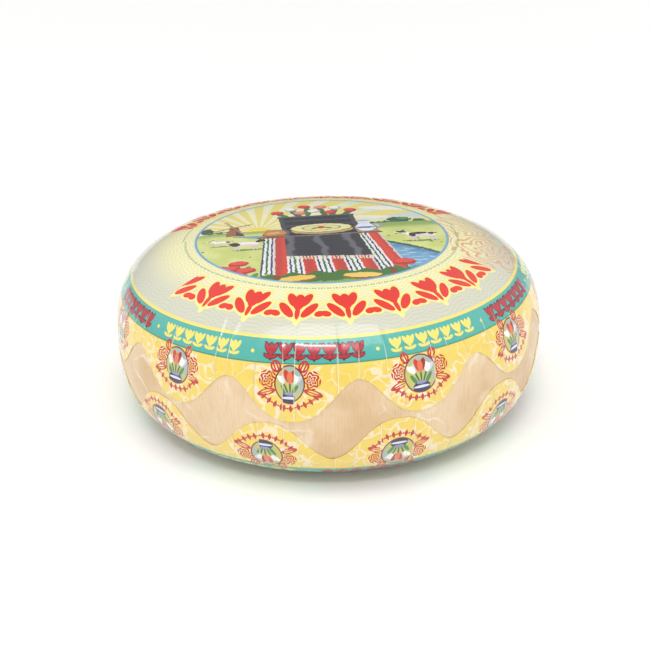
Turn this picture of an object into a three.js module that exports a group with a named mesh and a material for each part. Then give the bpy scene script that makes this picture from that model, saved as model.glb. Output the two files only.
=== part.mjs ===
// A whole aged goat cheese wheel in its two printed labels.
//
// The cheese is one pressed and coated wheel with a level base, a nearly level top and bulging sides.
// It has settled a little on its shelf, so its widest line is below half height.
// Each label is a die-cut round sheet with twelve rounded lobes. It is laid on one face of the wheel
// and folded down over the shoulder, so that its lobes lie on the side. The rind shows between the lobes.
//
// Millimetres, +Z up along the wheel's axis, origin at the centre of the base, front towards -Y.
import * as THREE from "three";

// The wheel, measured over its labels
const WHEEL_RADIUS = 125;
const TOP_RISE = 55.5; // from the widest line up to the top face
const BASE_DROP = 43; // from the widest line down to the base
const TOP_LEVEL_RADIUS = 50; // the part of the top face that is truly flat
const BASE_LEVEL_RADIUS = 75;
// A shoulder is a superellipse: a high face power keeps its face flat, a low side power rounds its side.
const TOP_SHOULDER = { facePower: 6, sidePower: 2.5 };
const BASE_SHOULDER = { facePower: 7.75, sidePower: 2.5 };

// The labels
const SHEET = 0.4; // thickness
const GLUE_GAP = 0.3; // between the sheet and the cheese
const LOBES = 12;
const LOBE_FULLNESS = 1.3; // 1 gives a plain wave, more gives fuller lobes and narrower notches
// Reaches are lengths along the wheel's surface from the middle of the sheet.
const TOP_LABEL = {
  notchReach: 135,
  lobeReach: 156.3,
  middle: new THREE.Vector2(-3.2, -0.7),
  firstLobe: -98.6,
};
const BASE_LABEL = {
  notchReach: 132.5,
  lobeReach: 153.6,
  middle: new THREE.Vector2(2.5, 0.6),
  firstLobe: -104.6,
};

// Facets: every piece has the same columns, so that the gaps between pieces stay even.
const COLUMNS = LOBES * 8;
const SHOULDER_ROWS = 13; // from the edge of a level face to the widest line
const LOBE_ROWS = 9; // from the plain part of a label to the edge of its lobes
const PLAIN_SHARE = 0.9; // the part of a label's notch reach that has plain round rows
const LENGTH_STEPS = 100 * SHOULDER_ROWS;

// One shoulder of the wheel's outline, from the edge of its level face to the widest line.
// Points are (distance from the axis, height above the widest line).
class Shoulder extends THREE.Curve {
  constructor(height, levelRadius, { facePower, sidePower }) {
    super();
    this.height = height;
    this.facePower = facePower;
    this.sidePower = sidePower;
    this.startAngle = Math.asin((levelRadius / WHEEL_RADIUS) ** (facePower / 2));
    this.arcLengthDivisions = LENGTH_STEPS;
  }

  getPoint(t, target = new THREE.Vector2()) {
    const angle = THREE.MathUtils.lerp(this.startAngle, Math.PI / 2, t);
    const across = WHEEL_RADIUS * Math.sin(angle) ** (2 / this.facePower);
    const up = this.height * Math.max(0, Math.cos(angle)) ** (2 / this.sidePower);
    return target.set(across, up);
  }
}

const topShoulder = new Shoulder(TOP_RISE, TOP_LEVEL_RADIUS, TOP_SHOULDER);
const baseShoulder = new Shoulder(BASE_DROP, BASE_LEVEL_RADIUS, BASE_SHOULDER);
const baseFaceDepth = baseShoulder.getPoint(0).y;

// The surface under a length of `reach` along the wheel from the middle of one face: a point and the
// outward direction there. `side` is 1 from the top face and -1 from the base.
function surfaceAt(reach, side) {
  const near = side > 0 ? topShoulder : baseShoulder;
  const far = side > 0 ? baseShoulder : topShoulder;
  const levelRadius = near.getPoint(0).x;
  const point = new THREE.Vector2();
  const outward = new THREE.Vector2(0, 1);
  if (reach <= levelRadius) {
    point.set(reach, near.getPoint(0).y);
  } else if (reach <= levelRadius + near.getLength()) {
    const share = (reach - levelRadius) / near.getLength();
    const along = near.getTangentAt(share);
    near.getPointAt(share, point);
    outward.set(-along.y, along.x);
  } else {
    const share = 1 - (reach - levelRadius - near.getLength()) / far.getLength();
    const along = far.getTangentAt(share);
    far.getPointAt(share, point);
    point.y *= -1;
    outward.set(-along.y, -along.x);
  }
  point.y *= side;
  outward.y *= side;
  point.y += baseFaceDepth;
  return { point, outward };
}

// How far the sheet reaches in one direction, with its lobes and its shift off the wheel's axis
function edgeReach(label, angle) {
  const pitch = (2 * Math.PI) / LOBES;
  const turns = (angle - THREE.MathUtils.degToRad(label.firstLobe)) / pitch;
  const offLobe = Math.abs(turns - Math.round(turns)) * 2; // 0 on a lobe's middle, 1 in a notch
  const drop = (1 - Math.cos(Math.PI * offLobe ** LOBE_FULLNESS)) / 2;
  const shift = label.middle.x * Math.cos(angle) + label.middle.y * Math.sin(angle);
  return THREE.MathUtils.lerp(label.lobeReach, label.notchReach, drop) + shift;
}

// The lengths along the surface at which a wheel has its rows of facets, from the edge of one level
// face to the widest line. Even steps of the outline's own angle put them close together in the bend.
function rowReaches(shoulder) {
  const lengths = shoulder.getLengths(LENGTH_STEPS);
  const levelRadius = shoulder.getPoint(0).x;
  const rows = [];
  for (let row = 0; row <= SHOULDER_ROWS; row++)
    rows.push(levelRadius + lengths[(row * LENGTH_STEPS) / SHOULDER_ROWS]);
  return rows;
}

// A label: a flat disc with the label's rows, lathed, then folded over the wheel. Its plain rows stay
// round, and the rows outside them spread out to the edge of the lobes.
function makeLabel(name, label, side, material) {
  const plainReach = label.notchReach * PLAIN_SHARE;
  const rows = rowReaches(side > 0 ? topShoulder : baseShoulder).filter((r) => r < plainReach);
  const outerRadius = plainReach + LOBE_ROWS;
  for (let row = 0; row <= LOBE_ROWS; row++) rows.push(plainReach + row);
  const upper = rows.map((radius) => new THREE.Vector2(radius, SHEET));
  const lower = rows.map((radius) => new THREE.Vector2(radius, 0));
  const section = [new THREE.Vector2(0, 0), ...lower, ...upper.reverse(), new THREE.Vector2(0, SHEET)];
  const geometry = new THREE.LatheGeometry(section, COLUMNS).rotateX(Math.PI / 2);
  const position = geometry.getAttribute("position");
  const spot = new THREE.Vector3();
  for (let i = 0; i < position.count; i++) {
    spot.fromBufferAttribute(position, i);
    const angle = Math.atan2(spot.y, spot.x);
    const radius = Math.hypot(spot.x, spot.y);
    const lobeShare = (radius - plainReach) / (outerRadius - plainReach);
    const reach =
      lobeShare > 0 ? THREE.MathUtils.lerp(plainReach, edgeReach(label, angle), lobeShare) : radius;
    const { point, outward } = surfaceAt(reach, side);
    point.addScaledVector(outward, spot.z - SHEET);
    position.setXYZ(i, point.x * Math.cos(angle), point.x * Math.sin(angle), point.y);
  }
  if (side < 0) turnFacesRound(geometry);
  const mesh = new THREE.Mesh(geometry, material);
  mesh.name = name;
  return mesh;
}

// Folding downwards instead of upwards turns the sheet inside out, so each triangle is reversed.
function turnFacesRound(geometry) {
  const index = geometry.getIndex();
  for (let i = 0; i < index.count; i += 3) {
    const second = index.getX(i + 1);
    index.setX(i + 1, index.getX(i + 2));
    index.setX(i + 2, second);
  }
}

// The cheese: the wheel's outline, drawn in by the sheet and the glue gap, turned round the axis
function makeCheese(material) {
  const inset = SHEET + GLUE_GAP;
  const half = (shoulder, side) =>
    [0, ...rowReaches(shoulder)].map((reach) => {
      const { point, outward } = surfaceAt(reach, side);
      return point.addScaledVector(outward, -inset);
    });
  const topHalf = half(topShoulder, 1);
  topHalf.pop(); // both halves end on the widest line
  const section = [...half(baseShoulder, -1), ...topHalf.reverse()];
  const geometry = new THREE.LatheGeometry(section, COLUMNS).rotateX(Math.PI / 2);
  const mesh = new THREE.Mesh(geometry, material);
  mesh.name = "cheese";
  return mesh;
}

const rindCoat = new THREE.MeshStandardMaterial({ color: 0xd9b98c, roughness: 0.45, metalness: 0 });
const printedSheet = new THREE.MeshStandardMaterial({ color: 0xe9e6a8, roughness: 0.3, metalness: 0 });

const cheeseWheel = new THREE.Group();
cheeseWheel.add(makeCheese(rindCoat));
cheeseWheel.add(makeLabel("top_label", TOP_LABEL, 1, printedSheet));
cheeseWheel.add(makeLabel("base_label", BASE_LABEL, -1, printedSheet));

export default cheeseWheel;
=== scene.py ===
import math
import random

import bmesh
import bpy
import numpy as np
from mathutils import Matrix, Vector, noise


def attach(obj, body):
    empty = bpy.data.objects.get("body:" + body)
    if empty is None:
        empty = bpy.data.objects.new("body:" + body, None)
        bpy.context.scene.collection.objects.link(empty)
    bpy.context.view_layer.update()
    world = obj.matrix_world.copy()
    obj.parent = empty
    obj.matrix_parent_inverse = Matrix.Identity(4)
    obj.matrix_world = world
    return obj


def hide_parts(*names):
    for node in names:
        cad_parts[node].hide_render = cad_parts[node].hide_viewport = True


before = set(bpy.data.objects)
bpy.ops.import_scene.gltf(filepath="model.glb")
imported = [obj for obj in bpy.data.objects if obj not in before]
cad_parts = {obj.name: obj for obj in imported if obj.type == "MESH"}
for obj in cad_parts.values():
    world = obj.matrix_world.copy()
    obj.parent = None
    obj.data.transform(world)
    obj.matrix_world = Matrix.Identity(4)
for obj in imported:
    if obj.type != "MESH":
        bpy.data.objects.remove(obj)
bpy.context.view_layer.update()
MM = 0.001

# ---------------------------------------------------------------------------------------------------
# The table, the light and the camera
# A white table top under a soft white studio dome, brighter on the left and right. A broad light
# comes over the viewer's head, and a small soft box above the front of the wheel makes its highlight.
TABLE_SIZE = 24
DOME = {"low": 0.06, "overhead": 0.42, "low_sides": 0.4, "sides": 0.92, "as_seen": 0.96}
BROAD_LIGHT = {"height_angle": math.radians(70), "spread": math.radians(46), "strength": 1.35}
SOFT_BOX = {"size": (0.34, 0.035), "middle": Vector((-0.05, -0.74, 0.97)), "watts": 1.8}
CAMERA_LENS = 49.3
CAMERA_DISTANCE = 0.5405
CAMERA_HEIGHT_ANGLE = math.radians(24.56)
CAMERA_ROLL = -0.0146
CAMERA_AIM = (-1.97, -2.37)  # millimetres to the right of the wheel's middle, and up
WIDEST_LINE = 42.67 * MM  # the height of the wheel's widest line above the table


def colour(code):
    """A colour written as two hexadecimal digits each of red, green and blue, as a shader takes it."""
    parts = [int(code[i : i + 2], 16) / 255 for i in (0, 2, 4)]
    return (*(((part + 0.055) / 1.055) ** 2.4 for part in parts), 1)


def principled(material, base, roughness):
    """The material's own Principled shader, with its even values set."""
    material.use_nodes = True
    shader = material.node_tree.nodes["Principled BSDF"]
    shader.inputs["Base Color"].default_value = colour(base)
    shader.inputs["Roughness"].default_value = roughness
    return shader


table_mesh = bmesh.new()
bmesh.ops.create_grid(table_mesh, x_segments=1, y_segments=1, size=TABLE_SIZE / 2)
table_data = bpy.data.meshes.new("table")
table_mesh.to_mesh(table_data)
table = bpy.data.objects.new("table", table_data)
bpy.context.scene.collection.objects.link(table)
table_paint = bpy.data.materials.new("white_table_top")
table_shader = principled(table_paint, "fcfcfb", 0.6)
table_shader.inputs["Specular IOR Level"].default_value = 0.1
table_data.materials.append(table_paint)

world = bpy.data.worlds.new("studio_dome")
world.use_nodes = True
bpy.context.scene.world = world
dome = world.node_tree
direction = dome.nodes.new("ShaderNodeSeparateXYZ")
dome.links.new(dome.nodes.new("ShaderNodeTexCoord").outputs["Generated"], direction.inputs["Vector"])
by_height = dome.nodes.new("ShaderNodeMapRange")
by_height.inputs["To Min"].default_value = DOME["low"]
by_height.inputs["To Max"].default_value = DOME["overhead"]
sideways = dome.nodes.new("ShaderNodeMath")
sideways.operation = "ABSOLUTE"
brightness = dome.nodes.new("ShaderNodeMath")
brightness.operation = "MULTIPLY_ADD"
sides_by_height = dome.nodes.new("ShaderNodeMapRange")
sides_by_height.inputs["From Max"].default_value = 0.4
sides_by_height.inputs["To Min"].default_value = DOME["low_sides"]
sides_by_height.inputs["To Max"].default_value = DOME["sides"]
behind_table = dome.nodes.new("ShaderNodeMix")  # a plain white wall where the viewer sees past the table
behind_table.inputs["B"].default_value = DOME["as_seen"]
light_path = dome.nodes.new("ShaderNodeLightPath")
dome.links.new(direction.outputs["Z"], by_height.inputs["Value"])
dome.links.new(direction.outputs["X"], sideways.inputs[0])
dome.links.new(direction.outputs["Z"], sides_by_height.inputs["Value"])
dome.links.new(sideways.outputs[0], brightness.inputs[0])
dome.links.new(sides_by_height.outputs["Result"], brightness.inputs[1])
dome.links.new(by_height.outputs["Result"], brightness.inputs[2])
dome.links.new(brightness.outputs[0], behind_table.inputs["A"])
dome.links.new(light_path.outputs["Is Camera Ray"], behind_table.inputs["Factor"])
dome.links.new(behind_table.outputs["Result"], dome.nodes["Background"].inputs["Strength"])
dome.nodes["Background"].inputs["Color"].default_value = (1, 1, 1, 1)

broad_light = bpy.data.objects.new("broad_light", bpy.data.lights.new("broad_light", "SUN"))
broad_light.data.energy = BROAD_LIGHT["strength"]
broad_light.data.angle = BROAD_LIGHT["spread"]
broad_light.rotation_euler = (math.pi / 2 - BROAD_LIGHT["height_angle"], 0, 0)
bpy.context.scene.collection.objects.link(broad_light)

soft_box_light = bpy.data.lights.new("soft_box", "AREA")
soft_box_light.shape = "RECTANGLE"
soft_box_light.size, soft_box_light.size_y = SOFT_BOX["size"]
soft_box_light.energy = SOFT_BOX["watts"]
soft_box = bpy.data.objects.new("soft_box", soft_box_light)
soft_box.location = SOFT_BOX["middle"]
soft_box.rotation_euler = (-SOFT_BOX["middle"]).to_track_quat("-Z", "Y").to_euler()
bpy.context.scene.collection.objects.link(soft_box)

forward = Vector((0, math.cos(CAMERA_HEIGHT_ANGLE), -math.sin(CAMERA_HEIGHT_ANGLE)))
level_up = Vector((0, math.sin(CAMERA_HEIGHT_ANGLE), math.cos(CAMERA_HEIGHT_ANGLE)))
right = math.cos(CAMERA_ROLL) * Vector((1, 0, 0)) + math.sin(CAMERA_ROLL) * level_up
up = right.cross(forward)
aim = Vector((0, 0, WIDEST_LINE)) + CAMERA_AIM[0] * MM * right + CAMERA_AIM[1] * MM * up
camera = bpy.data.objects.new("camera", bpy.data.cameras.new("camera"))
camera.data.lens = CAMERA_LENS
camera.data.clip_end = 2 * TABLE_SIZE
camera.matrix_world = Matrix.Translation(aim - CAMERA_DISTANCE * forward) @ (
    Matrix((right, up, -forward)).transposed().to_4x4()
)
bpy.context.scene.collection.objects.link(camera)
bpy.context.scene.camera = camera
bpy.context.scene.view_settings.view_transform = "Standard"

# ---------------------------------------------------------------------------------------------------
# The cheese
# A goat's milk curd pressed in a round mould lined with cheesecloth, brined, aged until its sides
# bulge, and brushed with a clear coating. The cloth leaves fine upright ribs in the rind.
WHEEL_RADIUS = 125 * MM
TOP_RISE = 55.5 * MM  # from the widest line up to the top face
BASE_DROP = 43 * MM
TOP_SHOULDER = {"face_power": 6, "side_power": 2.5}
BASE_SHOULDER = {"face_power": 7.75, "side_power": 2.5}
RIND_DEPTH = 0.62 * MM  # below the outside of the labels
SETTLING = 0.25 * MM  # how far the sides have sunk unevenly
CLOTH_PITCH = 0.86 * MM


def shoulder(rise, face_power, side_power):
    """Half of the wheel's outline, from the middle of a face to the widest line, as close points."""
    turn = np.linspace(0, math.pi / 2, 6001)
    across = WHEEL_RADIUS * np.sin(turn) ** (2 / face_power)
    upright = rise * np.cos(turn) ** (2 / side_power)
    return np.column_stack((across, upright))


# The whole outline, from the middle of the top face down the side to the middle of the base, as
# stations an even step apart. Each has its distance from the axis, its height, and its outward way.
OUTLINE_STEP = 0.25 * MM
top_half = shoulder(TOP_RISE, **TOP_SHOULDER)
base_half = shoulder(BASE_DROP, **BASE_SHOULDER)[::-1] * (1, -1)
close_points = np.vstack((top_half, base_half[1:])) + (0, BASE_DROP)
lengths = np.concatenate(((0,), np.cumsum(np.hypot(*np.diff(close_points, axis=0).T))))
FULL_REACH = lengths[-1]
even_lengths = np.linspace(0, FULL_REACH, round(FULL_REACH / OUTLINE_STEP) + 1)
outline = np.column_stack([np.interp(even_lengths, lengths, part) for part in close_points.T])
along = np.gradient(outline, axis=0)
along /= np.hypot(*along.T)[:, None]
stations = np.column_stack((outline, -along[:, 1], along[:, 0])).tolist()


def on_outline(reach, depth):
    """The distance from the axis and the height at a length along the outline, at a depth under it."""
    place = min(max(reach / FULL_REACH, 0), 1) * (len(stations) - 1)
    first = min(int(place), len(stations) - 2)
    share = place - first
    pairs = zip(stations[first], stations[first + 1])
    across, upright, out, above = (start + (end - start) * share for start, end in pairs)
    return max(across - depth * out, 0), upright - depth * above


def settle(mesh):
    """Sinks the sides and the top a little and unevenly, by the same amount in the rind and labels."""
    for vertex in mesh.verts:
        off_axis = math.hypot(vertex.co.x, vertex.co.y)
        broad = noise.noise(vertex.co * 22 + Vector((3, 7, 1)))
        close = noise.noise(vertex.co * 75 + Vector((9, 2, 5)))
        sink = SETTLING * (0.5 + 0.4 * broad + 0.1 * close)
        sideways = (off_axis / WHEEL_RADIUS) ** 4
        vertex.co.x -= vertex.co.x / WHEEL_RADIUS * sink * sideways
        vertex.co.y -= vertex.co.y / WHEEL_RADIUS * sink * sideways
        vertex.co.z -= (1 - sideways) * sink * max(0, vertex.co.z / WIDEST_LINE - 1)


def spun(points, turns):
    """A bmesh of an outline, given as distances from the axis and heights, spun round the axis."""
    mesh = bmesh.new()
    ring = [mesh.verts.new((across, 0, upright)) for across, upright in points]
    edges = [mesh.edges.new(pair) for pair in zip(ring, ring[1:])]
    full_turn = {"angle": 2 * math.pi, "steps": turns, "use_merge": True}
    bmesh.ops.spin(mesh, geom=ring + edges, cent=(0, 0, 0), axis=(0, 0, 1), **full_turn)
    bmesh.ops.remove_doubles(mesh, verts=mesh.verts, dist=0.001 * MM)
    bmesh.ops.recalc_face_normals(mesh, faces=mesh.faces)
    return mesh


def finished(mesh, name, material):
    """A smooth piece of the wheel made from a bmesh, riding on the wheel's only body."""
    data = bpy.data.meshes.new(name)
    mesh.to_mesh(data)
    mesh.free()
    data.shade_smooth()
    data.materials.append(material)
    piece = bpy.data.objects.new(name, data)
    bpy.context.scene.collection.objects.link(piece)
    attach(piece, "root")
    return piece


class Amount:
    """A number that varies over a surface. Arithmetic on amounts lays down Math nodes."""

    def __init__(self, socket):
        self.socket = socket

    def __add__(self, other):
        return amount("ADD", self, other)

    def __sub__(self, other):
        return amount("SUBTRACT", self, other)

    def __rsub__(self, other):
        return amount("SUBTRACT", other, self)

    def __mul__(self, other):
        return amount("MULTIPLY", self, other)

    def __truediv__(self, other):
        return amount("DIVIDE", self, other)

    def __lt__(self, other):
        return amount("LESS_THAN", self, other)

    def __gt__(self, other):
        return amount("GREATER_THAN", self, other)

    def __and__(self, other):
        return amount("MINIMUM", self, other)

    def __or__(self, other):
        return amount("MAXIMUM", self, other)

    def __abs__(self):
        return amount("ABSOLUTE", self)

    __radd__ = __add__
    __rmul__ = __mul__


def node(kind, inputs, **settings):
    """A new node in the tree that is being laid out, with its settings made and its inputs fed."""
    made = tree.nodes.new(kind)
    for name, value in settings.items():
        setattr(made, name, value)
    for key, value in inputs.items():
        value = value.socket if isinstance(value, Amount) else value
        if isinstance(value, bpy.types.NodeSocket):
            tree.links.new(value, made.inputs[key])
        else:
            made.inputs[key].default_value = value
    return made


def amount(operation, *inputs):
    """The result of one Math node."""
    return Amount(node("ShaderNodeMath", dict(enumerate(inputs)), operation=operation).outputs[0])


def split(vector):
    """The three parts of a vector."""
    return [Amount(part) for part in node("ShaderNodeSeparateXYZ", {0: vector}).outputs]


def length(x, y):
    """The distance of (x, y) from the origin."""
    place = node("ShaderNodeCombineXYZ", {"X": x, "Y": y}).outputs[0]
    return Amount(node("ShaderNodeVectorMath", {0: place}, operation="LENGTH").outputs["Value"])


def grains(vector, scale, detail=2.0, **settings):
    """Smooth random patches between 0 and 1."""
    inputs = {"Vector": vector, "Scale": scale, "Detail": detail}
    return Amount(node("ShaderNodeTexNoise", inputs, **settings).outputs["Fac"])


def ramp(value, low, high):
    """Rises smoothly from 0 at low to 1 at high."""
    inputs = {"Value": value, "From Min": low, "From Max": high}
    return Amount(node("ShaderNodeMapRange", inputs, interpolation_type="SMOOTHSTEP").outputs["Result"])


def inked(under, over, mask):
    """A colour, or a whole print, laid over what is there already where the mask is 1."""
    under, over = (colour(each) if isinstance(each, str) else each for each in (under, over))
    inputs = {"Factor": mask, 6: under, 7: over}
    return node("ShaderNodeMix", inputs, data_type="RGBA").outputs[2]


def cloth_press_group():
    """The cheesecloth's print, which shows through the coating and the labels: ribs round the side, a
    plain weave on the faces, and a few soft wrinkles. Height is in metres."""
    global tree
    tree = bpy.data.node_groups.new("cloth_press", "ShaderNodeTree")
    socket = tree.interface.new_socket
    socket("Place", in_out="INPUT", socket_type="NodeSocketVector")
    socket("Pitch", in_out="INPUT", socket_type="NodeSocketFloat")
    socket("Height", in_out="OUTPUT", socket_type="NodeSocketFloat")
    socket("Ribs", in_out="OUTPUT", socket_type="NodeSocketFloat")
    entry = tree.nodes.new("NodeGroupInput")
    place = entry.outputs["Place"]
    pitch = Amount(entry.outputs["Pitch"])
    x, y, z = split(place)
    off_axis = length(x, y)
    side = ramp(off_axis, 100 * MM, 117 * MM)
    waviness = grains(place, 60)
    round_side = amount("ARCTAN2", y, x) * WHEEL_RADIUS
    upright_ribs = amount("SINE", (round_side + waviness * 0.002) / pitch * 2 * math.pi)
    level_ribs = amount("SINE", (z + waviness * 0.003) / pitch * 2 * math.pi)
    weave = amount("SINE", x / pitch * 2 * math.pi) + amount("SINE", y / pitch * 2 * math.pi)
    worn = ramp(grains(place, 45, 3), 0.35, 0.65)
    ribs = (upright_ribs + level_ribs * 0.35) * side + weave * 0.5 * (1 - side)
    ribs = ribs * (0.3 + worn * 0.7)
    ridges = abs(grains(place, 38, 3, noise_type="FBM") - 0.5)
    wrinkles = amount("POWER", 1 - (ridges * 8 & 1.0), 3.0)
    total = ribs * 0.000013 + grains(place, 150, 3) * 0.00025 + wrinkles * 0.00012
    leave = tree.nodes.new("NodeGroupOutput")
    tree.links.new(total.socket, leave.inputs["Height"])
    tree.links.new(ribs.socket, leave.inputs["Ribs"])
    return tree


cloth_press = cloth_press_group()

rind = bpy.data.materials.new("coated_rind")
rind_shader = principled(rind, "e6cdae", 0.42)
rind_shader.inputs["Coat Roughness"].default_value = 0.16
tree = rind.node_tree
rind_place = tree.nodes.new("ShaderNodeTexCoord").outputs["Object"]
pressed = node("ShaderNodeGroup", {}, node_tree=cloth_press)
tree.links.new(rind_place, pressed.inputs["Place"])
pressed.inputs["Pitch"].default_value = CLOTH_PITCH
rind_tone = inked("eed4ae", "ddba8d", ramp(grains(rind_place, 28, 4), 0.35, 0.68))
rind_tone = inked(rind_tone, "f8e6c9", ramp(grains(rind_place, 70, 5), 0.56, 0.72) * 0.6)
# Painted shade: the rind is darker in the grooves between the cloth's ribs
rind_tone = inked(rind_tone, "c39a6c", ramp(Amount(pressed.outputs["Ribs"]), 0.3, -0.9) * 0.26)
streak_place = node("ShaderNodeMapping", {"Vector": rind_place, "Scale": (1000, 1000, 110)}).outputs[0]
rind_tone = inked(rind_tone, "c79d72", ramp(grains(streak_place, 1.0, 3), 0.5, 0.72) * 0.25)
# Pale crease lines in the coating: a whitened fold with painted highlight along it; they also rise a little
# in the bump
crease_place = node("ShaderNodeMapping", {"Vector": rind_place, "Scale": (26, 26, 34)}).outputs[0]
crease_waves = {"Vector": crease_place, "Scale": 1.2, "Detail": 3.0}
crease_bend = node("ShaderNodeTexNoise", crease_waves).outputs["Color"]
crease_place = node("ShaderNodeVectorMath", {0: crease_place, 1: crease_bend}, operation="ADD").outputs[0]
crease_edge = node("ShaderNodeTexVoronoi", {"Vector": crease_place, "Scale": 1.0}, feature="DISTANCE_TO_EDGE")
crease_and_highlight = 1 - ramp(Amount(crease_edge.outputs["Distance"]), 0.004, 0.03)
crease_and_highlight = crease_and_highlight * ramp(grains(rind_place, 33, 2), 0.46, 0.6)
rind_tone = inked(rind_tone, "fbeedb", crease_and_highlight * 0.6)
rind_height = Amount(pressed.outputs["Height"]) + crease_and_highlight * 0.0001
rind_bump = node("ShaderNodeBump", {"Height": rind_height, "Strength": 0.9, "Distance": 1.0})
tree.links.new(rind_bump.outputs[0], rind_shader.inputs["Normal"])
tree.links.new(rind_tone, rind_shader.inputs["Base Color"])
rind_roughness = 0.42 + grains(rind_place, 90, 3) * 0.22
tree.links.new(rind_roughness.socket, rind_shader.inputs["Roughness"])
rind_shader.inputs["Coat Weight"].default_value = 0.2

ROW_STEP = 1.5 * MM
RIND_COLUMNS = 288
rind_reaches = np.linspace(0, FULL_REACH, round(FULL_REACH / ROW_STEP))
rind_rows = [on_outline(reach, RIND_DEPTH) for reach in rind_reaches]
rind_mesh = spun(rind_rows, RIND_COLUMNS)
settle(rind_mesh)
wheel = finished(rind_mesh, "cheese_wheel", rind)
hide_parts("cheese")

# ---------------------------------------------------------------------------------------------------
# The two printed sheets
# Thin coated paper, printed in one design, die-cut round with twelve rounded lobes, glued to the
# faces and folded over the shoulders. It can't stretch, so each fold lies in small overlapping pleats
# that swallow a strip of the print. Below, the design; after it, how a sheet is laid on the wheel.
LOBES = 12
DESIGN_TURN = math.radians(7.3)  # how far the top sheet was glued on turned
PICTURE_RADIUS = 73.4
BAND = (114.8, 127.1)
MEDALLION_REACH = 137.2
FIRST_LOBE = math.radians(15)  # from the bottom of the picture, anticlockwise


def joined(x, y):
    """A place on the sheet as one vector. Its third part is 1, which lets a motif be moved."""
    return node("ShaderNodeCombineXYZ", {"X": x, "Y": y, "Z": 1.0}).outputs[0]


def seen(place, at, size=(1, 1), turn=0):
    """A place as a motif sees it: across and up from its own middle, in units of its half-sizes."""
    lean = math.radians(turn)
    axes = ((math.cos(lean), math.sin(lean)), (-math.sin(lean), math.cos(lean)))
    parts = []
    for (across, up), half_size in zip(axes, size):
        row = (across / half_size, up / half_size, -(at[0] * across + at[1] * up) / half_size)
        part = node("ShaderNodeVectorMath", {0: place, 1: row}, operation="DOT_PRODUCT")
        parts.append(Amount(part.outputs["Value"]))
    return parts


def oval(place, at, size, turn=0):
    """1 inside an oval."""
    x, y = seen(place, at, size, turn)
    return amount("MULTIPLY_ADD", y, y, x * x) < 1.0


def block(place, at, size, turn=0):
    """1 inside a rectangle."""
    x, y = seen(place, at, size, turn)
    return (abs(x) | abs(y)) < 1.0


def wrapped(position, pitch):
    """A position along a row as its distance from the middle of the nearest repeat."""
    return amount("WRAP", position, pitch * 0.5, -pitch * 0.5)


def painted(under, place, strokes):
    """Ovals laid down one after another, each given by its middle, half-sizes, turn and ink."""
    for at, size, turn, ink in strokes:
        under = inked(under, ink, oval(place, at, size, turn))
    return under


sheet_print = bpy.data.materials.new("printed_sheet")
sheet_shader = principled(sheet_print, "efe9b0", 0.34)
tree = sheet_print.node_tree
paper = node("ShaderNodeUVMap", {}, uv_map="sheet").outputs[0]
sheet_x, sheet_y = split(paper)[:2]
sheet = joined(sheet_x, sheet_y)
from_middle = length(sheet_x, sheet_y)
bearing = amount("ARCTAN2", sheet_x, 0 - sheet_y)

# The ground: cream turning sage towards the rim, under two crossing families of fine engraved rings
RING_PITCH = 2.3
RING_SWINGS = 24  # round the sheet
ground = inked("fdf7b8", "c6c8b8", ramp(from_middle, 81, 108))
swing = amount("SINE", bearing * RING_SWINGS) * 2.6
green_rings = amount("SINE", (from_middle + swing) * (2 * math.pi / RING_PITCH)) > 0.2
pink_rings = amount("SINE", (from_middle - swing) * (2 * math.pi / RING_PITCH)) > 0.2
ground = inked(ground, "c9dfb6", green_rings * 0.4)
ground = inked(ground, "eacbb6", pink_rings * 0.32)

# A rose and its leaves in thin orange lines on the right
scribble = grains(paper, 0.09, 3)
rose_x, rose_y = seen(sheet, (91, -31), turn=25)
rose_reach = length(rose_x, rose_y)
rose_bearing = amount("ARCTAN2", rose_y, rose_x)
petal_waves = amount("SINE", rose_bearing * 5 + rose_reach * 0.35) * 2.2
petals = wrapped(rose_reach + petal_waves + scribble * 11, 4.6)
rose_lines = (abs(petals) < 0.75) & (rose_reach < 17.0 + scribble * 12)
ground = inked(ground, "e59a62", rose_lines * 0.85)
leaf_x, leaf_y = seen(sheet, (86, -4), (16, 30), 14)
leaf_veins = abs(wrapped(leaf_x * 14 + abs(leaf_y) * 16 + scribble * 12, 4.2)) < 0.7
leaf_patch = amount("MULTIPLY_ADD", leaf_y, leaf_y, leaf_x * leaf_x) < 1.0
ground = inked(ground, "e8a878", (leaf_veins & leaf_patch & (rose_reach > 22)) * 0.7)

# Thin green ring round the picture, dotted along the front
front_half = abs(bearing) < 1.65
ticks = amount("SINE", bearing * 330) + amount("SINE", bearing * 131) * 0.7 > 0.0
dotted = (abs(from_middle - 78.6) < 0.75) & ticks & front_half
plain_ring = (abs(from_middle - 80.2) < 0.3) & (1 - front_half)
ground = inked(ground, "6fa284", (dotted | plain_ring) * 0.8)


# Garland of red tulips with a yellow edge, along the front and the back
def flower_gap(x, y, petals):
    """About how far outside a flower a point is, in millimetres, and below 0 inside. Each petal is the
    middle, half-sizes and turn of an oval, and the flower is the same on its left and right."""
    mirrored = joined(abs(x), y)
    nearest = 10.0
    for at, size, turn in petals:
        gap = (length(*seen(mirrored, at, size, turn)) - 1.0) * min(size)
        nearest = gap & nearest
    return nearest


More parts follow.
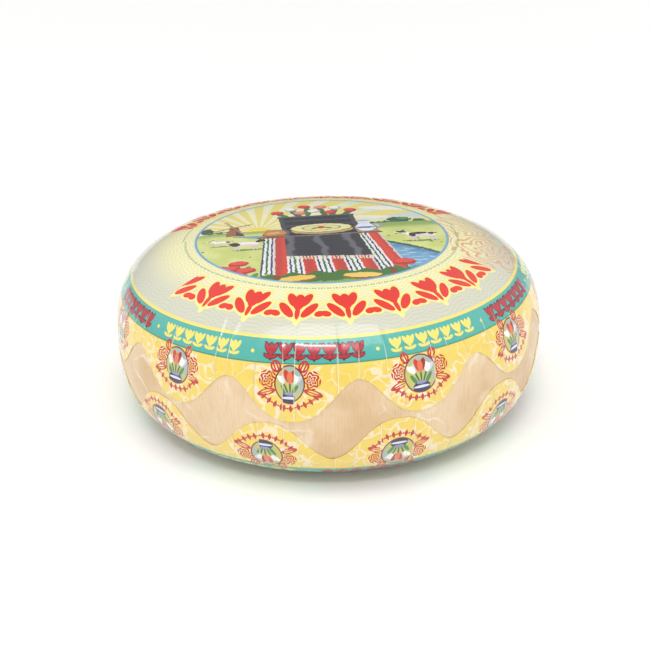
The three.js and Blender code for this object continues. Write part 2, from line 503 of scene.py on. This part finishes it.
GARLAND_PITCH = math.radians(14.4)
GARLAND_REACH = 94
GARLAND_FRONT_END = math.radians(57)
GARLAND_BACK_START = math.radians(112)
GARLAND_TULIP = (
    ((0, 2.8), (3.0, 6.3), 0),
    ((3.5, 4.2), (2.5, 6.0), -24),
    ((0, -5.0), (1.2, 4.8), 0),
    ((5.7, -3.4), (2.3, 6.1), -36),
    ((10.3, -6.0), (1.9, 2.5), -64),
)
at_back = abs(bearing) > math.pi / 2
garland_reach = GARLAND_REACH - at_back * 5
garland_x = wrapped(bearing, GARLAND_PITCH) * garland_reach
garland_gap = flower_gap(garland_x, (garland_reach - from_middle) * (1 - at_back * 2), GARLAND_TULIP)
garland_part = (abs(bearing) < GARLAND_FRONT_END) | (abs(bearing) > GARLAND_BACK_START)
ground = inked(ground, "f7e88e", (garland_gap < 0.95) & garland_part)
ground = inked(ground, "e22c1e", (garland_gap < 0.0) & garland_part)

# The rim: a yellow line, a teal band, and lemon lobes under a pale net of curling lines
ground = inked(ground, "f6dc6c", from_middle > BAND[0] - 1.6)
ground = inked(ground, inked("42a99d", "50b4a8", grains(paper, 0.5, 3)), from_middle > BAND[0])
ground = inked(ground, "3f8f72", from_middle > BAND[1] - 0.7)
lobe_bearing = wrapped(bearing - FIRST_LOBE, 2 * math.pi / LOBES)
lobe_x = amount("SINE", lobe_bearing) * from_middle
lobe_y = MEDALLION_REACH - amount("COSINE", lobe_bearing) * from_middle
lobe = joined(lobe_x, lobe_y)
from_medallion = length(lobe_x, lobe_y)
curl_x = sheet_x + (grains(paper, 0.11, 1) - 0.5) * 16
curl_place = node("ShaderNodeMapping", {"Vector": paper, "Location": (60, 20, 0)}).outputs[0]
curl_y = sheet_y + (grains(curl_place, 0.11, 1) - 0.5) * 16
net_place = {"Vector": joined(curl_x, curl_y), "Scale": 0.105}
net = node("ShaderNodeTexVoronoi", net_place, feature="DISTANCE_TO_EDGE")
wreath_share = ramp(abs(from_medallion - 17), 13, 5)
net_width = 0.014 + (grains(paper, 0.2, 1) - 0.3) * 0.22 * wreath_share
net_lines = (Amount(net.outputs["Distance"]) < net_width) & (from_middle > 128)
lemon = inked("f5d968", "efcf5c", grains(paper, 0.2, 3))
lemon = inked(lemon, "f8e6c4", net_lines * 0.9)
ground = inked(ground, lemon, from_middle > BAND[1])

# Small flowers along the band, in groups that are crimson and yellow by turns, with dots between
GROUP_TURN = math.radians(-9.4)
BAND_MIDDLE = 121.0
FLOWER_PITCH = 7.3
GROUP_HALF_LENGTH = 25.4
DOT_PLACE = 31.7  # along the band from the middle of a group
BAND_FLOWER = (
    ((0, 0.9), (1.4, 2.8), 0),
    ((1.8, 1.5), (1.0, 2.5), -26),
    ((0, -2.4), (0.5, 1.3), 0),
    ((1.7, -2.5), (1.55, 0.75), 28),
)
group = wrapped(bearing - GROUP_TURN, 2 * math.pi / LOBES)
pair = wrapped(bearing - GROUP_TURN, 4 * math.pi / LOBES)
along_band = group * BAND_MIDDLE
across_band = BAND_MIDDLE - from_middle
band_gap = flower_gap(wrapped(along_band, FLOWER_PITCH), across_band, BAND_FLOWER)
in_group = abs(along_band) < GROUP_HALF_LENGTH
crimson_group = abs(pair) < math.pi / LOBES
ground = inked(ground, "5b2030", (band_gap < 0.4) & in_group & crimson_group)
ground = inked(ground, inked("f2df6a", "b5162a", crimson_group), (band_gap < 0.0) & in_group)
dot_place = joined(DOT_PLACE - abs(along_band), across_band + 0.5)
ground = inked(ground, "f2df6a", oval(dot_place, (0, 0), (0.95, 0.95)))

# A medallion on each lobe: a vase of tulips in an oval, line-drawn roses round it, lozenges below
CRIMSON = "c42c2f"
mirror_lobe = joined(abs(lobe_x), lobe_y)
side_rose_x, side_rose_y = seen(mirror_lobe, (11.8, 3.0), (4.3, 4.6), 10)
side_rose = length(side_rose_x, side_rose_y)
side_turn = amount("ARCTAN2", side_rose_y, side_rose_x)
side_lines = abs(wrapped(side_rose + amount("SINE", side_turn * 5 + side_rose * 3) * 0.13, 0.36)) < 0.105
ground = inked(ground, CRIMSON, side_lines & (side_rose < 1.05))
bud_x, bud_y = seen(mirror_lobe, (7.6, 9.4), (2.5, 3.0), -20)
bud = length(bud_x, bud_y)
bud_lines = (abs(bud - 0.85) < 0.18) | (abs(abs(bud_x) - 0.3) < 0.15)
ground = inked(ground, CRIMSON, bud_lines & (bud < 1.03))
frond_x, frond_y = seen(mirror_lobe, (13.2, -3.2), (4.8, 1.7), -14)
frond = length(frond_x, frond_y)
frond_lines = (abs(frond - 0.82) < 0.18) | (abs(frond_y) < 0.16)
ground = inked(ground, CRIMSON, frond_lines & (frond < 1.0))
LOZENGE_ARC = 19.3  # the radius of the arc that the lozenges stand on
LOZENGE_PITCH = 3.3
lozenge_y = lobe_y - 7.5
lozenge_bearing = amount("ARCTAN2", lobe_x, 0 - lozenge_y)
lozenge_x = abs(wrapped(lozenge_bearing * LOZENGE_ARC, LOZENGE_PITCH))
lozenge_out = abs(length(lobe_x, lozenge_y) - LOZENGE_ARC)
lozenges = lozenge_x * 1.15 + lozenge_out * 0.62 < 1.32
beads = length(LOZENGE_PITCH / 2 - lozenge_x, lozenge_out) < 0.5
ground = inked(ground, CRIMSON, (lozenges | beads) & (abs(lozenge_bearing) < 0.98))
medal_x, medal_y = seen(lobe, (0, 0.2), (8.2, 9.0))
medal_reach = length(medal_x, medal_y)
ground = inked(ground, "7d2838", medal_reach < 1.08)
medal = inked("c9c26a", "a9b8b0", ramp(medal_x + medal_y, -0.3, 1.1))
medal_strokes = (
    ((-3.8, -2.4), (1.0, 3.2), 34, "4f8a4c"),
    ((3.8, -2.4), (1.0, 3.2), -34, "4f8a4c"),
    ((-2.0, -1.4), (0.5, 3.4), 22, "3f7342"),
    ((2.0, -1.4), (0.5, 3.4), -22, "3f7342"),
    ((0, -0.6), (0.5, 3.6), 0, "3f7342"),
    ((0, -6.4), (4.6, 2.9), 0, "2f3154"),
    ((0, -4.2), (2.7, 0.8), 0, "8f93bd"),
    ((0, -6.3), (4.3, 0.7), 0, "dfe3f0"),
    ((-5.3, 2.9), (1.1, 2.4), 40, "fdfcf8"),
    ((-3.3, 3.1), (1.1, 2.4), 6, "d3d6e0"),
    ((-4.2, 2.6), (1.1, 2.3), 22, "f4f3ee"),
    ((5.3, 2.9), (1.1, 2.4), -40, "d3d6e0"),
    ((3.3, 3.1), (1.1, 2.4), -6, "fdfcf8"),
    ((4.2, 2.6), (1.1, 2.3), -22, "f4f3ee"),
    ((-1.5, 4.6), (1.4, 3.2), 16, "cf4231"),
    ((1.5, 4.6), (1.4, 3.2), -16, "a52b24"),
    ((0, 3.8), (1.4, 3.0), 0, "ea7a50"),
)
ground = inked(ground, painted(medal, lobe, medal_strokes), medal_reach < 1.0)

# The picture in the middle: sun rays over a meadow with a river, a windmill, goats and tulips
bend_x = grains(paper, 0.35) - 0.5
bend_place = node("ShaderNodeMapping", {"Vector": paper, "Location": (40, 70, 0)}).outputs[0]
bend_y = grains(bend_place, 0.35) - 0.5
drawn_x = sheet_x + bend_x * 2.2
drawn_y = sheet_y + bend_y * 2.2
drawn = joined(drawn_x, drawn_y)
leafy = joined(sheet_x + bend_x * 7.0, sheet_y + bend_y * 7.0)

SUN = (-35.5, 12.0)
ray_bearing = amount("ARCTAN2", sheet_x - SUN[0], sheet_y - SUN[1])
rays = amount("SINE", ray_bearing * 26) > -0.1
picture = inked("f4f1cc", "c3d8da", ramp(sheet_x, 5, 60) * 0.8)
picture = inked(picture, "efe07e", rays)
picture = painted(picture, leafy, (((47, 47), (17, 4.5), -12, "f6f3e8"), ((33, 30), (13, 3), -8, "f2efda")))
picture = inked(picture, "f8de5c", oval(sheet, SUN, (7.6, 7.6)))
horizon = 12.5 + ramp(sheet_x, -20, 60) * 5
far_trees = (
    ((50, 21.5), (7.5, 5.5), 0, "355c42"),
    ((53, 23.5), (3.5, 2.2), 0, "608a50"),
    ((62, 18.5), (4.2, 3.2), 0, "3d6650"),
    ((38, 17.5), (13, 1.8), 6, "40684c"),
    ((-66, 18.5), (4.6, 5.2), 0, "3b5641"),
    ((-60, 14.2), (8, 1.7), 0, "4c7450"),
)
picture = painted(picture, leafy, far_trees)
meadow = inked("cdd77a", "e0e393", ramp(grains(paper, 0.05, 3), 0.4, 0.62))
meadow = inked(meadow, "8fae60", ramp(sheet_y, 4, 13))
tuft = node("ShaderNodeTexVoronoi", {"Vector": paper, "Scale": 0.15}).outputs["Distance"]
meadow = inked(meadow, "5f8d45", (Amount(tuft) < 0.13) & (sheet_y < 0.0))
picture = inked(picture, meadow, drawn_y < horizon)
far_water = (((-30, 0.2), (22, 2.1), -12, "4c7d5e"), ((-30, -0.2), (21, 1.5), -12, "79a9cc"))
picture = painted(picture, drawn, far_water)

# The river on the right, with its dark bank and white ripples
bank_run = drawn_x - 18.4
bank = -8.8 - bank_run * 0.45 - bank_run * bank_run * 0.0066
ragged = grains(paper, 0.9, 2) * 5
picture = inked(picture, "356446", (sheet_y < bank + ragged) & (sheet_x > 12.0))
water = inked("74a9d0", "568fbb", ramp(bank - sheet_y, 14, 2))
flow = {"Vector": paper, "Scale": (0.09, 0.75, 1), "Rotation": (0, 0, 0.12)}
ripples = grains(node("ShaderNodeMapping", flow).outputs[0], 1.0, 3)
water = inked(water, "d5e6f0", ripples > 0.6)
water = inked(water, "437baa", ripples < 0.36)
picture = inked(picture, water, (sheet_y < bank - 1.2) & (sheet_x > 12.0))
picture = inked(picture, "84ad58", oval(leafy, (27, -66), (15, 8), 16) | oval(leafy, (-10, -74), (40, 9)))

# The windmill
mill_x, mill_y = seen(drawn, (-50, 8))
mill_body = (abs(mill_x) + mill_y * 0.2 < 5.2) & (mill_y > -2.0) & (mill_y < 13.0)
picture = inked(picture, inked("a06843", "613f2c", mill_x > 0.8), mill_body)
picture = inked(picture, "523428", oval(drawn, (-50, 21.3), (3.0, 2.6)))
for turn in (22, 112):
    sail = block(drawn, (-50, 22), (12.5, 0.42), turn)
    lattice = block(drawn, (-50, 22), (12.0, 1.3), turn) & (amount("SINE", (sheet_x - sheet_y) * 4.0) > 0.2)
    picture = inked(picture, "ad855e", sail | lattice)


def motif(place, at, size, facing=1):
    """The sheet as one drawn thing sees it, so that its strokes can be given from its own middle."""
    return joined(*seen(place, at, (size * facing, size)))


def goat(under, middle, size, facing, patches):
    """A standing goat and its shadow. `facing` is 1 for a head on the right and -1 on the left."""
    strokes = [((1.5, -9.6), (9.5, 1.3), 0, "728e44")]
    for hoof in (-6.4, -4.2, 4.0, 5.9):
        strokes.append(((hoof, -5.8), (0.85, 4.2), 0, "dccdc2"))
    strokes += [
        ((-0.4, 0), (7.8, 3.7), 2, "fcf8f2"),
        ((0, -1.9), (6.6, 1.5), 0, "e6d5c9"),
        ((7.6, 3.4), (3.4, 1.9), 52, "fcf8f2"),
        ((10.8, 6.0), (2.9, 1.35), -22, "fcf8f2"),
        ((8.3, 7.6), (1.7, 0.6), 150, "554d47"),
        ((-8.6, 1.8), (1.9, 0.6), 145, "4c4138"),
    ]
    return painted(under, motif(drawn, middle, size, facing), strokes + patches)


BLACK_BROWN = "3a302a"
young_patches = [((-5, 1), (2.4, 2.4), 0, "7f6d5f"), ((10.6, 5.8), (2.2, 1), -22, "918070")]
left_patches = [((-6.2, 0.2), (2.9, 3.4), 12, BLACK_BROWN), ((8.6, 4.4), (3.4, 1.9), 40, BLACK_BROWN)]
right_patches = [
    ((0.8, 2.2), (5.0, 1.9), -6, BLACK_BROWN),
    ((4.6, -0.4), (1.7, 2.8), 10, BLACK_BROWN),
    ((-6.0, 1.4), (1.8, 1.6), 0, BLACK_BROWN),
    ((9.6, 5.4), (3.0, 1.4), 20, BLACK_BROWN),
]
picture = goat(picture, (-57.5, -3.5), 0.66, -1, young_patches)
picture = goat(picture, (-44.5, -8.6), 1.0, 1, left_patches)
picture = goat(picture, (56.8, -8.2), 1.08, -1, right_patches)

# A table in the meadow: a striped cloth, and a dark fringed runner across it
LEG_MIDDLES = ((-31, -59), (30, -59))
picture = inked(picture, "4b7638", oval(leafy, (-2, -61), (42, 9), 2))
for leg in LEG_MIDDLES:
    picture = inked(picture, "7d5230", block(drawn, leg, (1.8, 8)))
cloth_x = drawn_x / (35.0 - drawn_y * 0.11)
stripe = amount("FRACT", cloth_x * 2.6)
striped = inked("de4a36", "f3f1ec", stripe > 0.42)
for low, high, ink in ((0.5, 0.57, "35376f"), (0.66, 0.74, "377654"), (0.84, 0.91, "35376f")):
    striped = inked(striped, ink, (stripe > low) & (stripe < high))
striped = inked(striped, "7a3340", ramp(amount("SINE", cloth_x * 15), 0.3, 1.0) * 0.3)
hem = amount("SINE", cloth_x * 20) * 1.8 - 58.0
picture = inked(picture, striped, (abs(cloth_x) < 0.96) & (drawn_y < 2.0) & (drawn_y > hem))
table_top = (abs(drawn_x) < 36.0 - drawn_y * 0.35) & (abs(drawn_y - 6.5) < 7.5)
picture = inked(picture, inked("c08c57", "855833", drawn_y < 1.6), table_top)
runner_x = drawn_x / (21.5 - drawn_y * 0.06)
runner_end = drawn_x * 0.12 + drawn_y
runner = inked("3a3a41", "6a6a72", ramp(amount("SINE", runner_x * 8 + grains(paper, 0.06, 2) * 5), 0.4, 1.0))
runner = inked(runner, "77777f", abs(drawn_y - 0.4) < 0.9)
picture = inked(picture, runner, (abs(runner_x) < 1.0) & (runner_end > -35.0) & (drawn_y < 13.0))
fringe = (abs(runner_end + 37.5) < 2.5) & (amount("SINE", drawn_x * 3.6) > -0.1)
picture = inked(picture, "e6dfc8", fringe & (abs(runner_x) < 1.0))

# On the table, a dark wooden crate of tulips
crate_leaves = (
    ((-19, 40), (2.2, 8), 34, "4a8450"),
    ((21, 40), (2.2, 8), -34, "3d7546"),
    ((-11, 44), (2.4, 10), 16, "3d7546"),
    ((13, 44), (2.4, 10), -16, "4a8450"),
    ((-3, 46), (2.2, 10), -4, "4a8450"),
    ((6, 45), (2.2, 10), 8, "3d7546"),
)
picture = painted(picture, drawn, crate_leaves)
RED_BLOOM, WHITE_BLOOM, PINK_BLOOM = ("bf2e28", "e65245"), ("b9bcc6", "fbfaf5"), ("d0695f", "f2a092")
blooms = (
    ((-22, 46), RED_BLOOM),
    ((24, 46), RED_BLOOM),
    ((-13, 52), WHITE_BLOOM),
    ((15, 52), WHITE_BLOOM),
    ((-4, 57), RED_BLOOM),
    ((6, 55), PINK_BLOOM),
    ((-8, 44), PINK_BLOOM),
    ((1, 47), WHITE_BLOOM),
    ((11, 43), RED_BLOOM),
)
for (bloom_x, bloom_y), (shaded, lit) in blooms:
    whole_bloom = ((bloom_x, bloom_y), (4.1, 3.9), 0, shaded)
    lit_petals = ((bloom_x - 0.4, bloom_y + 1.1), (3.2, 2.7), 0, lit)
    picture = painted(picture, drawn, (whole_bloom, lit_petals))
crate_parts = (
    ((1, 24.5), (23, 12.5), "34343a"),
    ((1, 19.5), (23, 0.55), "63636b"),
    ((1, 28.5), (23, 0.55), "63636b"),
    ((1, 36.4), (23.8, 1.1), "5a5a62"),
    ((-20.6, 24.5), (1.5, 12.5), "4b4b53"),
    ((22.6, 24.5), (1.5, 12.5), "4b4b53"),
)
for at, size, ink in crate_parts:
    picture = inked(picture, ink, block(drawn, at, size))

# In front of the crate, a cheese wheel, two rolls and a jug
table_things = (
    ((1.5, 4.6), (19.5, 3.2), 0, "232328"),
    ((1.5, 8.8), (18.4, 6.4), 0, "c6ab69"),
    ((1.5, 12.8), (18.6, 8.0), 0, "9c8750"),
    ((1.5, 13.2), (17.8, 7.4), 0, "eee6a8"),
    ((1.5, 13.2), (11.8, 4.9), 0, "739871"),
    ((1.5, 13.2), (10.6, 4.3), 0, "e8de9c"),
    ((-2.6, 12.8), (2.4, 1.1), 24, "4f8a4c"),
    ((5.6, 12.8), (2.4, 1.1), -24, "4f8a4c"),
    ((1.5, 14.0), (2.6, 2.0), 0, "c9402f"),
    ((-26.5, 6.0), (7.6, 4.2), 10, "85522c"),
    ((-26.5, 6.7), (6.9, 3.5), 10, "d08f52"),
    ((-27.4, 8.0), (4.2, 1.4), 10, "e8b67a"),
    ((34.6, 12.0), (3.6, 4.6), 0, "9aa0b4"),
    ((34.2, 12.0), (2.2, 3.0), 0, "c9cf8c"),
    ((28, 9.6), (6.6, 7.6), 0, "858ba2"),
    ((27.7, 10.0), (5.9, 7.0), 0, "eceff4"),
    ((28, 18.6), (3.7, 4.6), 0, "dfe3ec"),
    ((28, 22.6), (4.4, 1.3), 0, "aeb5c8"),
    ((27.9, 9.6), (5.8, 1.5), 0, "5f78bd"),
)
picture = painted(picture, drawn, table_things)

# Two small cheeses on the grass under the table, and tulips on both sides
grass_things = (
    ((-21, -65.6), (10.2, 4.2), 4, "8f6a2c"),
    ((-21, -64.2), (9.6, 3.1), 4, "f2c95f"),
    ((13, -66.4), (10.6, 4.2), -4, "8f6a2c"),
    ((13, -65.0), (10.0, 3.1), -4, "f4cf6b"),
)
picture = painted(picture, drawn, grass_things)
tulip_strokes = (
    ((0.2, -6.6), (0.55, 4.5), 0, "417d46"),
    ((-2.6, -7.6), (1.5, 4.6), 28, "387d4e"),
    ((2.8, -7.8), (1.6, 4.4), -32, "519656"),
    ((0, 0), (4.8, 3.4), 0, "bf2e28"),
    ((0, 1.0), (4.0, 2.1), 0, "e65245"),
)
tulips = (
    ((-61, -43), 1.0),
    ((-50, -39), 1.15),
    ((-55.5, -45), 1.15),
    ((-47, -49), 1.2),
    ((-52, -53), 1.0),
    ((38, -50), 1.35),
)
for at, size in tulips:
    picture = painted(picture, motif(drawn, at, size), tulip_strokes)

picture = inked(picture, "74abd2", from_middle > PICTURE_RADIUS - 1.5)
ground = inked(ground, picture, from_middle < PICTURE_RADIUS)

# The pleats: along each fold a pale line, a whitened crease with painted highlight, and beside it a thin
# line of painted shade
fold = Amount(node("ShaderNodeAttribute", {}, attribute_name="fold").outputs["Fac"])
pleated = ramp(from_middle, 112, 124)
ground = inked(ground, "a98f52", ((fold > 0.12) & (fold < 0.5)) * pleated * 0.3)
ground = inked(ground, "fdf8e6", (fold > 0.5) * pleated * 0.4)
tree.links.new(ground, sheet_shader.inputs["Base Color"])

# The coating over the print
sheet_place = tree.nodes.new("ShaderNodeTexCoord").outputs["Object"]
sheet_press = node("ShaderNodeGroup", {}, node_tree=cloth_press)
tree.links.new(sheet_place, sheet_press.inputs["Place"])
sheet_press.inputs["Pitch"].default_value = CLOTH_PITCH
sheet_height = Amount(sheet_press.outputs["Height"]) + grains(sheet_place, 700, 2) * 0.00016
sheet_bump = node("ShaderNodeBump", {"Height": sheet_height, "Strength": 0.8, "Distance": 1.0})
tree.links.new(sheet_bump.outputs[0], sheet_shader.inputs["Normal"])
sheet_roughness = 0.26 + grains(sheet_place, 120, 3) * 0.2
tree.links.new(sheet_roughness.socket, sheet_shader.inputs["Roughness"])
sheet_shader.inputs["Coat Weight"].default_value = 0.8
sheet_shader.inputs["Coat Roughness"].default_value = 0.1

# How a sheet is laid on the wheel
SHEET = 0.18 * MM
SHEET_DEPTH = 0.34 * MM  # of a sheet's outside below the wheel's outline, where no pleat lifts it
LOBE_FULLNESS = 1.3
PLEATS = LOBES * 5
PLEAT_COLUMNS = (0, 0.03, 0.27, 0.52, 0.78, 0.95)  # shares of the way from one pleat to the next
PLEAT_RISE = 0.22 * MM
FIRST_FOLD = 96 * MM  # the reach at which the longest pleats begin
PLEAT_OPENING = 24 * MM  # how far along a pleat it comes to its full height
PRINT_SWALLOWED = (84 * MM, 104 * MM)  # the reaches between which the pleats begin to take in print
LEVEL_REACH = 50 * MM  # rows are further apart within this reach
LEVEL_ROW_STEP = 5 * MM
PLAIN_SHARE = 0.9  # the part of a sheet's notch reach that has plain round rows
LOBE_ROWS = 14
LOBE_SPAN = 20 * MM  # of the flat disc outside its plain rows
# Reaches of the cut edge, how far the middle lies off the axis, and the bearing of one lobe
TOP_SHEET = {"notch": 135 * MM, "lobe": 156.3 * MM, "middle": (-3.2 * MM, -0.7 * MM), "first_lobe": -98.6}
BASE_SHEET = {"notch": 132.5 * MM, "lobe": 153.6 * MM, "middle": (2.5 * MM, 0.6 * MM), "first_lobe": -104.6}
BASE_PRINT_SLIP = (-2.8 * MM, 3.8 * MM)  # the base print lies off the middle of its sheet


def smooth(value, low, high):
    """Rises smoothly from 0 at low to 1 at high."""
    share = min(max((value - low) / (high - low), 0), 1)
    return share * share * (3 - 2 * share)


def sheet_edge(cut, angle):
    """How far along the wheel the sheet's scalloped edge is, in one direction from the axis."""
    turns = (angle - math.radians(cut["first_lobe"])) * LOBES / (2 * math.pi)
    off_lobe = abs(turns - round(turns)) * 2
    drop = (1 - math.cos(math.pi * off_lobe**LOBE_FULLNESS)) / 2
    shift = cut["middle"][0] * math.cos(angle) + cut["middle"][1] * math.sin(angle)
    return cut["lobe"] + (cut["notch"] - cut["lobe"]) * drop + shift


def laid_sheet(name, cut, side, turn, seed, slip=(0, 0)):
    """A flat disc of paper, spun, then folded over the wheel in pleats, with its print on its UV map.
    `side` is 1 for the top and -1 for the base; `turn` turns the print, and `slip` moves it. `seed`
    settles where the pleats lie."""
    chance = random.Random(seed)
    pleats = []
    for index in range(PLEATS):
        place = (index + chance.uniform(-0.28, 0.28)) * 2 * math.pi / PLEATS
        start = FIRST_FOLD + chance.uniform(0, 22) * MM
        pleats.append((place, start, PLEAT_RISE * chance.uniform(0.5, 1), chance.uniform(-0.02, 0.02)))
    plain_reach = cut["notch"] * PLAIN_SHARE
    level_rows = np.arange(0, LEVEL_REACH, LEVEL_ROW_STEP)
    shoulder_rows = np.arange(LEVEL_REACH, plain_reach, ROW_STEP)
    lobe_shares = [*np.linspace(0, 0.995, LOBE_ROWS), 1]
    lobe_rows = [plain_reach + share * LOBE_SPAN for share in lobe_shares]
    turns = PLEATS * len(PLEAT_COLUMNS)
    mesh = spun([(row, 0) for row in [*level_rows, *shoulder_rows, *lobe_rows]], turns)
    uv = mesh.loops.layers.uv.new("sheet")
    fold_layer = mesh.verts.layers.float.new("fold")

    def pleat_at(index, reach):
        """Where a pleat lies at a reach, and how high it stands there."""
        place, start, rise, lean = pleats[index % PLEATS]
        if index == PLEATS:
            place += 2 * math.pi
        opened = smooth(reach, start, start + PLEAT_OPENING)
        return place + lean * opened, rise * opened

    places = {}
    for vertex in mesh.verts:
        flat_reach = math.hypot(vertex.co.x, vertex.co.y)
        column = round(math.atan2(vertex.co.y, vertex.co.x) * turns / (2 * math.pi)) % turns
        strip, step = divmod(column, len(PLEAT_COLUMNS))
        reach = flat_reach
        for _ in range(2):  # a pleat's place depends on the reach, and a lobe's reach on the place
            this_place, this_rise = pleat_at(strip, reach)
            next_place, next_rise = pleat_at(strip + 1, reach)
            angle = this_place + (next_place - this_place) * PLEAT_COLUMNS[step]
            lobe_share = (flat_reach - plain_reach) / LOBE_SPAN
            if lobe_share > 0:
                reach = plain_reach + (sheet_edge(cut, angle) - plain_reach) * lobe_share
        lift = {0: this_rise, 5: 0.85 * next_rise, 4: 0.2 * next_rise}.get(step, 0)
        # The fold value marks each pleat's crest, where the print gets a pale line of crease and painted
        # highlight, with painted shade beside it
        vertex[fold_layer] = smooth(this_rise / PLEAT_RISE, 0.2, 0.8) if step == 0 else 0
        depth = SHEET_DEPTH - lift
        across, upright = on_outline(reach if side > 0 else FULL_REACH - reach, depth)
        vertex.co = (across * math.cos(angle), across * math.sin(angle), upright)
        places[vertex] = (reach, angle, strip, across)

    for face in mesh.faces:
        strips = {places[vertex][2] for vertex in face.verts if places[vertex][0] > 0}
        strip = PLEATS - 1 if strips == {0, PLEATS - 1} else min(strips)
        for loop in face.loops:
            reach, angle, _, across = places[loop.vert]
            start, _ = pleat_at(strip, reach)
            end, _ = pleat_at(strip + 1, reach)
            middle = (start + end) / 2
            off_middle = (angle - middle + math.pi) % (2 * math.pi) - math.pi
            swallowed = smooth(reach, *PRINT_SWALLOWED)
            squeeze = 1 + ((across / reach if reach else 1) - 1) * swallowed
            on_sheet = middle + off_middle * squeeze
            flat_x = (reach * math.cos(on_sheet) - cut["middle"][0] - slip[0]) / MM
            flat_y = side * (reach * math.sin(on_sheet) - cut["middle"][1] - slip[1]) / MM
            loop[uv].uv = (
                flat_x * math.cos(turn) + flat_y * math.sin(turn),
                flat_y * math.cos(turn) - flat_x * math.sin(turn),
            )
    settle(mesh)
    bmesh.ops.recalc_face_normals(mesh, faces=mesh.faces)
    middle_face = min(mesh.faces, key=lambda face: face.calc_center_median().xy.length)
    if middle_face.normal.z * side < 0:
        bmesh.ops.reverse_faces(mesh, faces=mesh.faces)
    piece = finished(mesh, name, sheet_print)
    thick = piece.modifiers.new("thickness", "SOLIDIFY")
    thick.thickness = SHEET
    thick.offset = -1
    return piece


top_sheet = laid_sheet("top_printed_sheet", TOP_SHEET, 1, DESIGN_TURN, 4)
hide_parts("top_label")
base_sheet = laid_sheet("base_printed_sheet", BASE_SHEET, -1, math.radians(-0.4), 9, BASE_PRINT_SLIP)
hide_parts("base_label")
